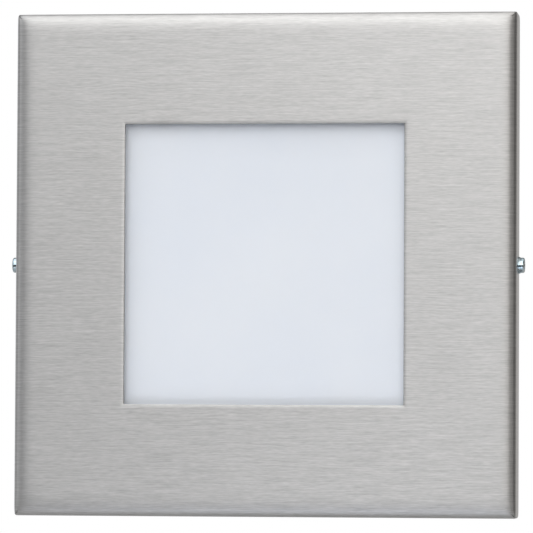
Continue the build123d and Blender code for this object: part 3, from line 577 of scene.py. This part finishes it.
# The camera sees the paper nearly white, with a faint shadow of the object.
from_origin = tree.nodes.new("ShaderNodeVectorMath")
from_origin.operation = "LENGTH"
feed(tree, from_origin.inputs[0], place)
share = spread(tree, from_origin.outputs["Value"], *SHADED_SPAN, WHITE_SHARE, 1.0)
seen = math(tree, "MULTIPLY", tree.nodes.new("ShaderNodeLightPath").outputs["Is Camera Ray"], share)
white = tree.nodes.new("ShaderNodeEmission")
white.inputs["Strength"].default_value = 1.0
chosen = tree.nodes.new("ShaderNodeMixShader")
feed(tree, chosen.inputs[0], seen)
feed(tree, chosen.inputs[1], tree.nodes["Principled BSDF"].outputs[0])
feed(tree, chosen.inputs[2], white.outputs[0])
feed(tree, tree.nodes["Material Output"].inputs[0], chosen.outputs[0])
floor.data.materials.append(paper)


def heading(azimuth, elevation):
    """Direction from the object, in degrees: azimuth from the front to the right, and elevation."""
    azimuth = radians(azimuth)
    elevation = radians(elevation)
    return Vector((sin(azimuth) * cos(elevation), -cos(azimuth) * cos(elevation), sin(elevation)))


def room_patch(tree, view, toward, core, reach, strength):
    """A soft-edged patch of the room: full within one angle of its middle, and gone at another.

    It is brighter than the rest of the room, or darker where its strength is below zero.
    """
    near = tree.nodes.new("ShaderNodeVectorMath")
    near.operation = "DOT_PRODUCT"
    feed(tree, near.inputs[0], view)
    feed(tree, near.inputs[1], toward)
    patch = tree.nodes.new("ShaderNodeMapRange")
    patch.interpolation_type = "SMOOTHSTEP"
    edges = (cos(radians(reach)), cos(radians(core)))
    for socket, source in zip(patch.inputs, (near.outputs["Value"], *edges, 0.0, strength)):
        feed(tree, socket, source)
    return patch.outputs[0]


ROOM_LEVEL = 0.285
DARK_BELOW = (-0.06, 0.04)
DARK_IN_FRONT = (-0.8, -0.4)
ROOM_COOL = (0.985, 1.0, 1.03, 1)
ROOM_WARM = (1.02, 1.0, 0.97, 1)
TINT_SPAN = (-0.3, 0.2)
world = bpy.data.worlds.new("studio")
bpy.context.scene.world = world
world.use_nodes = True
tree = world.node_tree
view = tree.nodes.new("ShaderNodeTexCoord").outputs["Generated"]
front_wall = room_patch(tree, view, heading(10, 6), core=8, reach=42, strength=0.44)
front_glow = room_patch(tree, view, heading(8, 6), core=3, reach=22, strength=0.87)
front_high = room_patch(tree, view, heading(8, 25), core=5, reach=26, strength=0.15)
front_left = room_patch(tree, view, heading(-9, 18), core=3, reach=15, strength=1.16)
left_wall = room_patch(tree, view, heading(-80, 0), core=10, reach=40, strength=0.205)
left_front = room_patch(tree, view, heading(-45, 0), core=8, reach=30, strength=0.36)
left_near = room_patch(tree, view, heading(-34, 0), core=4, reach=15, strength=0.36)
left_high = room_patch(tree, view, heading(-65, 40), core=10, reach=36, strength=0.823)
left_back = room_patch(tree, view, heading(-140, 0), core=10, reach=45, strength=0.404)
ceiling = room_patch(tree, view, heading(0, 85), core=10, reach=40, strength=1.425)
paper_behind = room_patch(tree, view, heading(180, 0), core=12, reach=32, strength=0.15)
right_back = room_patch(tree, view, heading(162, 0), core=10, reach=28, strength=0.16)
right_dark = room_patch(tree, view, heading(108, 0), core=15, reach=42, strength=-0.11)
right_wall = room_patch(tree, view, heading(48, 0), core=8, reach=26, strength=0.24)
level = ROOM_LEVEL
for patch in (front_wall, front_glow, front_high, front_left,
              left_wall, left_front, left_near, left_high, left_back,
              ceiling, paper_behind, right_back, right_dark, right_wall):
    level = math(tree, "ADD", level, patch)
axes = tree.nodes.new("ShaderNodeSeparateXYZ")
feed(tree, axes.inputs[0], view)
above = spread(tree, axes.outputs["Z"], *DARK_BELOW)
beside = spread(tree, axes.outputs["Y"], *DARK_IN_FRONT)
level = math(tree, "MULTIPLY", level, math(tree, "MAXIMUM", above, beside))
tint = blend(tree, spread(tree, axes.outputs["X"], *TINT_SPAN), ROOM_COOL, ROOM_WARM)
# The camera sees white all round, and metal mirrors the white paper straight behind the object.
rays = tree.nodes.new("ShaderNodeLightPath").outputs
mirrored = math(tree, "MAXIMUM", rays["Is Glossy Ray"], rays["Is Transmission Ray"])
white_paper = room_patch(tree, view, heading(-173, 2.5), core=4, reach=11, strength=1.0)
seen = math(tree, "MAXIMUM", rays["Is Camera Ray"], math(tree, "MULTIPLY", mirrored, white_paper))
strength = tree.nodes.new("ShaderNodeMix")
feed(tree, strength.inputs[0], seen)
feed(tree, strength.inputs[2], level)
feed(tree, strength.inputs[3], 1.0)
feed(tree, tree.nodes["Background"].inputs["Strength"], strength.outputs[0])
feed(tree, tree.nodes["Background"].inputs["Color"], blend(tree, seen, tint, (1, 1, 1, 1)))

LAMP_HEIGHT_SHARE = 0.75
FLOOR_SPOT = (0.0, -0.60)
FLOOR_LAMP_Z = -0.22
FLOOR_LAMP_COOL = (0.80, 0.86, 1.0)


def soft_lamp(name, location, aim, size, energy):
    """A soft box that faces a point."""
    bpy.ops.object.light_add(type="AREA", location=location)
    lamp = bpy.context.object
    lamp.name = name
    lamp.data.shape = "RECTANGLE"
    lamp.data.size = size
    lamp.data.size_y = LAMP_HEIGHT_SHARE * size
    lamp.data.energy = energy
    lamp.rotation_euler = (Vector(aim) - Vector(location)).to_track_quat("-Z", "Y").to_euler()
    return lamp


soft_lamp("high_lamp", (-0.10, -0.75, 0.70), aim=(0, 0, 0), size=0.8, energy=2.59)
soft_lamp("camera_lamp", (0.25, -1.40, 0.30), aim=(0, 0, 0), size=0.8, energy=0.75)
floor_lamp = soft_lamp("floor_lamp", (*FLOOR_SPOT, FLOOR_LAMP_Z), aim=(*FLOOR_SPOT, FLOOR_Z),
                       size=0.30, energy=1.75)
floor_lamp.data.color = FLOOR_LAMP_COOL

AIM = Vector((0.0, -0.010, 0.0))
CAMERA_DISTANCE = 2.023
CAMERA_ROLL = radians(0.31)
CAMERA_AZIMUTH = 6.92
CAMERA_ELEVATION = -2.46
back_off = heading(CAMERA_AZIMUTH, CAMERA_ELEVATION)
bpy.ops.object.camera_add(location=AIM + CAMERA_DISTANCE * back_off)
camera = bpy.context.object
facing = (-back_off).to_track_quat("-Z", "Y").to_matrix() @ Matrix.Rotation(CAMERA_ROLL, 3, "Z")
camera.rotation_euler = facing.to_euler()
camera.data.lens = 298.9
camera.data.sensor_width = 36.0
camera.data.shift_x = 0.00017
camera.data.shift_y = -0.00287
bpy.context.scene.camera = camera
bpy.context.scene.view_settings.view_transform = "Standard"
